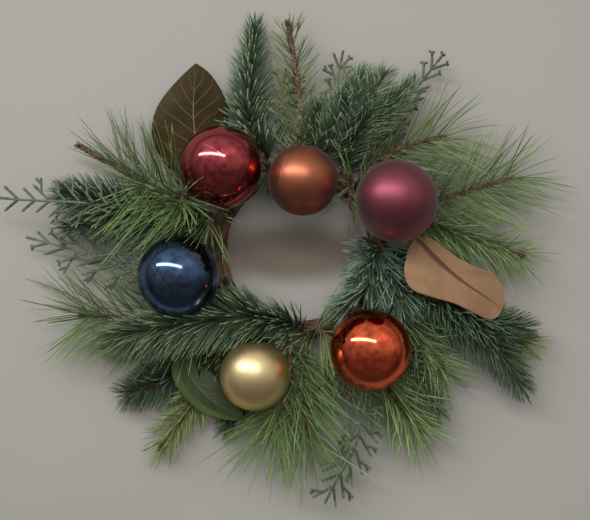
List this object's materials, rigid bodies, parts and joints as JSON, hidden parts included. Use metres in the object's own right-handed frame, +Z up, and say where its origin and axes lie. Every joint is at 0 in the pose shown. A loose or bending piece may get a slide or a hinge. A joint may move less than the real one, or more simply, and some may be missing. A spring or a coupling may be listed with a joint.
{
  "type": "ornament wreath",
  "caption": "Wall wreath: a twisted vine ring with sprays of pine, fir and cedar, magnolia leaves and tied tree balls round an open centre.",
  "frame": {"origin": "the middle of the flat at the top of the ring's inside, where a wall nail carries the wreath; the wall is 8 mm behind it", "axes": "+X right as seen from the room, +Z up, +Y into the wall, so the balls face -Y"},
  "size_m": [0.5049, 0.097, 0.4353],
  "materials": {
    "vine": "dry bark",
    "fir": "dark blue-green needles on a brown twig",
    "pine": "bright green long needles on a brown twig",
    "cedar": "scaly green branchlets",
    "leaf_olive": "satin dried leaf",
    "leaf_suede": "matte felted underside",
    "leaf_dark": "waxy leaf",
    "ball_red": "mirror gloss",
    "ball_copper": "satin metallic",
    "ball_burgundy": "satin metallic",
    "ball_blue": "mirror gloss",
    "ball_gold": "satin metallic",
    "ball_orange": "mirror gloss",
    "cap": "bright crimped metal",
    "tie": "dull wire"
  },
  "bodies": {
    "root": {"vine_ring": "vine", "ball_red": "ball_red", "ball_copper": "ball_copper", "ball_burgundy": "ball_burgundy", "ball_blue": "ball_blue", "ball_gold": "ball_gold", "ball_orange": "ball_orange", "cap_red": "cap", "cap_copper": "cap", "cap_burgundy": "cap", "cap_blue": "cap", "cap_gold": "cap", "cap_orange": "cap", "tie_red": "tie", "tie_copper": "tie", "tie_burgundy": "tie", "tie_blue": "tie", "tie_gold": "tie", "tie_orange": "tie", "leaf_top_left": "leaf_olive", "leaf_tan": "leaf_suede", "leaf_green": "leaf_dark", "fir_top": "fir", "fir_top_small": "fir", "fir_top_middle": "fir", "fir_top_right": "fir", "fir_right_low": "fir", "fir_right_mid": "fir", "fir_inner_right": "fir", "fir_inner_low": "fir", "fir_low_right": "fir", "fir_front_low": "fir", "fir_bottom_small": "fir", "fir_bottom_left": "fir", "fir_left_low": "fir", "fir_left": "fir", "pine_top": "pine", "pine_upper_right": "pine", "pine_right": "pine", "pine_right_low": "pine", "pine_bud_right": "pine", "pine_low_right": "pine", "pine_bottom_right": "pine", "pine_bottom": "pine", "pine_bottom_left": "pine", "pine_bottom_short": "pine", "pine_left_low": "pine", "pine_left": "pine", "pine_upper_left": "pine", "cedar_top": "cedar", "cedar_top_right": "cedar", "cedar_upper_right": "cedar", "cedar_bottom": "cedar", "cedar_left_low": "cedar", "cedar_left": "cedar"}
  },
  "joints": []
}
